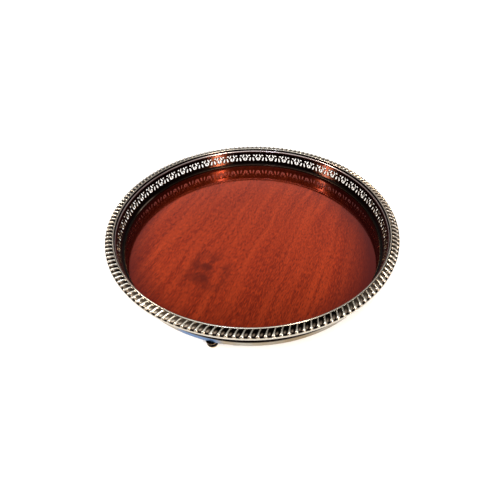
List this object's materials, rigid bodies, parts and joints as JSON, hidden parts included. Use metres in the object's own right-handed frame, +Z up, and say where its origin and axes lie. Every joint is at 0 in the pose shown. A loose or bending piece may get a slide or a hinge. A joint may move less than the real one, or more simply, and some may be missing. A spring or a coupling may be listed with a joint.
{
  "type": "gallery tray",
  "caption": "Round silver-plated tray with a pierced gallery, a gadroon border, a polished wood-faced board and ball feet.",
  "frame": {"origin": "on the table, under the middle of the tray", "axes": "+Z up through the tray's middle, -Y towards the side seen at the front"},
  "size_m": [0.305, 0.305, 0.0415],
  "materials": {
    "border_plate": "aged silver plate, bright ridges with dark tarnish in the grooves",
    "gallery_plate": "aged silver plate, darker and unpolished in the piercings",
    "rim_plate": "worn silver plate with brown tarnish patches",
    "foot_plate": "worn silver plate, darkened in the collar joint",
    "stud_steel": "plain threaded steel",
    "mahogany_laminate": "high-gloss lacquered mahogany laminate",
    "core_wood": "pressed wood board, unfinished",
    "backing_laminate": "plain brown balancing laminate"
  },
  "bodies": {
    "root": {"board_core": "core_wood", "board_face": "mahogany_laminate", "board_backing": "backing_laminate", "base_rim": "rim_plate", "gallery_foot_moulding": "gallery_plate", "gallery_wall": "gallery_plate", "gallery_top_moulding": "gallery_plate", "gadroon_border": "border_plate", "foot_ball_front": "foot_plate", "foot_collar_front": "foot_plate", "foot_stud_front": "stud_steel", "foot_ball_right": "foot_plate", "foot_collar_right": "foot_plate", "foot_stud_right": "stud_steel", "foot_ball_back": "foot_plate", "foot_collar_back": "foot_plate", "foot_stud_back": "stud_steel", "foot_ball_left": "foot_plate", "foot_collar_left": "foot_plate", "foot_stud_left": "stud_steel"}
  },
  "joints": []
}
